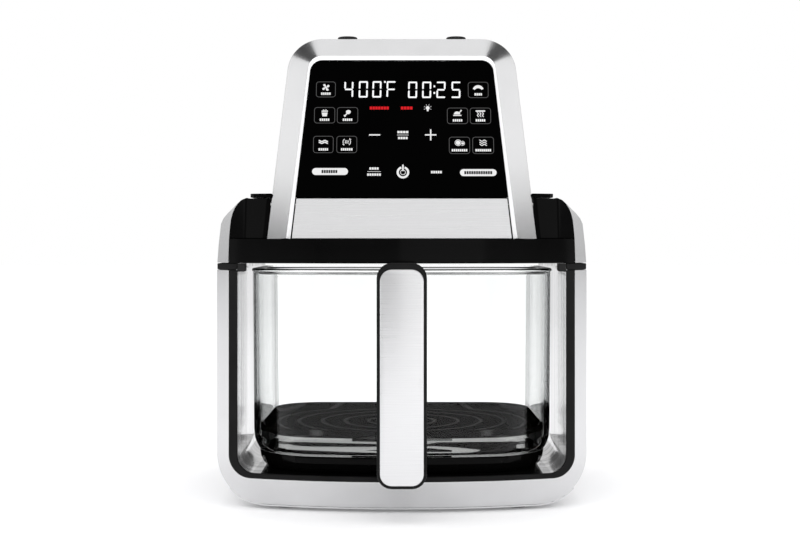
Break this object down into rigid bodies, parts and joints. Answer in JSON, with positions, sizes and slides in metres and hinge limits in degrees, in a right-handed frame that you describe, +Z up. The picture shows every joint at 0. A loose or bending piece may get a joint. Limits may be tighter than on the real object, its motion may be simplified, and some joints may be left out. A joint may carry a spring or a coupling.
{
  "type": "glass-bowl air fryer",
  "caption": "Air fryer with an open cradle, a pull-out glass bowl with an upright handle, a lift-out crisper tray and a leaning touch-panel tower.",
  "frame": {"origin": "centre of the overall box at the level of the feet's undersides", "axes": "+Z up, -Y out of the front where the bowl pulls out, +X to the right seen from the front"},
  "size_m": [0.324, 0.35, 0.4155],
  "materials": {
    "satin_silver": "satin silver coating",
    "bright_liner": "bright reflective sheet",
    "brushed_steel": "brushed",
    "sheet_steel": "plain sheet metal",
    "satin_black": "satin black",
    "gloss_black": "gloss black",
    "panel_glass": "black touch panel",
    "clear_glass": "clear glass",
    "lamp_glass": "frosted lamp glass",
    "dark_rubber": "matt dark rubber",
    "tray_coating": "black non-stick coating",
    "heater_sheath": "dark heat-toned sheath",
    "circuit_board": "green board",
    "ribbon_insulation": "grey ribbon"
  },
  "bodies": {
    "housing": {"badge_plate": "brushed_steel", "base_pan": "satin_silver", "belt_left": "satin_black", "belt_right": "satin_black", "bowl_stop": "satin_black", "ceiling_plate": "sheet_steel", "control_board": "circuit_board", "control_glass": "panel_glass", "fan_guard": "sheet_steel", "floor_plate": "gloss_black", "foot_front_left": "dark_rubber", "foot_front_right": "dark_rubber", "foot_rear_left": "dark_rubber", "foot_rear_right": "dark_rubber", "front_trim": "satin_black", "head_band": "gloss_black", "head_base": "satin_black", "heat_pan": "sheet_steel", "heater_coil": "heater_sheath", "inner_liner": "bright_liner", "interlock_switch": "dark_rubber", "lamp_holder": "sheet_steel", "lamp_lens": "lamp_glass", "mains_inlet": "dark_rubber", "motor_body": "sheet_steel", "motor_bracket": "sheet_steel", "outer_shell": "satin_silver", "power_board": "circuit_board", "rear_cover": "satin_black", "rear_screw_left": "sheet_steel", "rear_screw_right": "sheet_steel", "rear_trim": "satin_black", "ribbon_cable": "ribbon_insulation", "rim_guide_left": "dark_rubber", "rim_guide_right": "dark_rubber", "shoulder_left": "gloss_black", "shoulder_right": "gloss_black", "side_cap_left": "satin_silver", "side_cap_right": "satin_silver", "temperature_sensor": "dark_rubber", "top_bumper_left": "dark_rubber", "top_bumper_right": "dark_rubber", "top_panel": "gloss_black", "tower_back": "satin_black", "tower_bezel": "satin_silver", "wall_spacer_left": "dark_rubber", "wall_spacer_right": "dark_rubber"},
    "drawer": {"glass_bowl": "clear_glass", "bowl_carriage": "gloss_black", "handle_body": "satin_black", "handle_plate": "brushed_steel", "handle_pad": "dark_rubber", "handle_screw": "sheet_steel"},
    "tray": {"crisper_tray": "tray_coating", "tray_bumper_left": "dark_rubber", "tray_bumper_right": "dark_rubber"},
    "rotor": {"convection_fan": "sheet_steel", "cooling_fan": "satin_black", "motor_shaft": "sheet_steel"},
    "plunger": {"interlock_plunger": "sheet_steel"}
  },
  "joints": [
    {"name": "bowl_slide", "type": "slide", "parent": "housing", "child": "drawer", "axis": [0, -1, 0], "range_m": [0, 0.25]},
    {"name": "tray_lift", "type": "slide", "parent": "drawer", "child": "tray", "axis": [0, 0, 1], "range_m": [0, 0.12]},
    {"name": "fan_spin", "type": "hinge", "parent": "housing", "child": "rotor", "pos_m": [0, -0.008, 0.24], "axis": [0, 0, 1], "continuous": true},
    {"name": "plunger_travel", "type": "slide", "parent": "housing", "child": "plunger", "axis": [0, 1, 0], "range_m": [0, 0.002], "stiffness_N_per_m": 300, "springref_m": -0.002}
  ]
}
